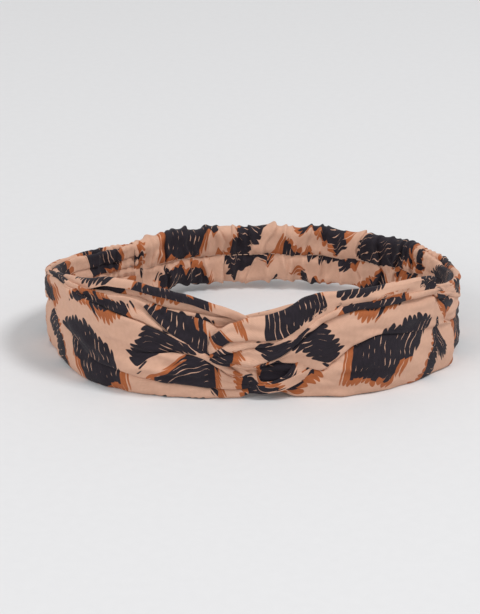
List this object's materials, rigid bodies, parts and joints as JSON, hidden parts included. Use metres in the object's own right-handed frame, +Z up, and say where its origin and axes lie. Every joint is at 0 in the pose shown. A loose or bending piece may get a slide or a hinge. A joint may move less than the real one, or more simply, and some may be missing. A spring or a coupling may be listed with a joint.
{
  "type": "headband",
  "caption": "Twisted cloth headband: two wide front bands folded round each other in a knot, joined at the back by a gathered elastic casing.",
  "frame": {"origin": "on the surface that the headband stands on, under the middle of its bounding box", "axes": "+X along the ring's long way, -Y towards the knot at the front, +Z up, across the band's width"},
  "size_m": [0.1766, 0.13, 0.05],
  "materials": {
    "printed_cloth": null,
    "elastic_knit": "matte ribbed knit",
    "sewing_thread": "matte spun polyester"
  },
  "bodies": {
    "right_half": {"front_band_right": "printed_cloth", "elastic_casing": "printed_cloth", "elastic_strip": "elastic_knit", "casing_seam_thread": "sewing_thread", "band_seam_thread_right": "sewing_thread", "seam_thread_right_outer": "sewing_thread", "seam_thread_right_inner": "sewing_thread", "elastic_tack_right": "sewing_thread"},
    "left_half": {"front_band_left": "printed_cloth", "band_seam_thread_left": "sewing_thread", "seam_thread_left_outer": "sewing_thread", "seam_thread_left_inner": "sewing_thread", "elastic_tack_left": "sewing_thread"}
  },
  "joints": [
    {"name": "knot_swing", "type": "hinge", "parent": "right_half", "child": "left_half", "pos_m": [-0.00043, -0.0558, 0.0175], "axis": [0, 0, 1], "range_deg": [-15, 35], "stiffness_Nm_per_rad": 1.4, "deforming": ["elastic_casing", "elastic_strip", "casing_seam_thread"]}
  ]
}
